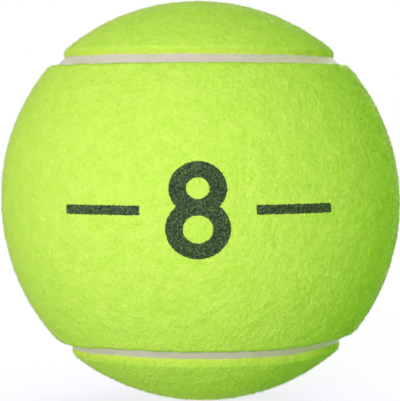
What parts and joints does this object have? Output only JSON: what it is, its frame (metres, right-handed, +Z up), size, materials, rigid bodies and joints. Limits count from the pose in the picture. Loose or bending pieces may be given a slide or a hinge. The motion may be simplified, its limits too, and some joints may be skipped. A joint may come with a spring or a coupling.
{
  "type": "tennis ball",
  "caption": "Pressurised tennis ball: a hollow rubber core of half shells under dumbbell felt panels, which a recessed rubber seam joins. It bounces and rolls.",
  "frame": {"origin": "the ball's centre", "axes": "+Z up; the printed front panel's band runs along X and faces -Y; the four half circles of the seam lie at 45 degrees about Z on the -Y side and about X on the +Y side"},
  "size_m": [0.0668, 0.0668, 0.0668],
  "materials": {
    "core_rubber": "matt black moulded rubber",
    "joint_rubber": "cured rubber solution",
    "bonding_rubber": "cured amber rubber solution",
    "yellow_felt": "napped wool and nylon felt in optic yellow",
    "seam_rubber": "warm light grey moulded rubber, matt"
  },
  "bodies": {
    "root": {"core_half_upper": "core_rubber", "core_half_lower": "core_rubber", "core_joint_cement": "joint_rubber", "core_cement_coat": "bonding_rubber", "felt_panel_front": "yellow_felt", "felt_panel_back": "yellow_felt", "seam_strip": "seam_rubber"}
  },
  "joints": []
}
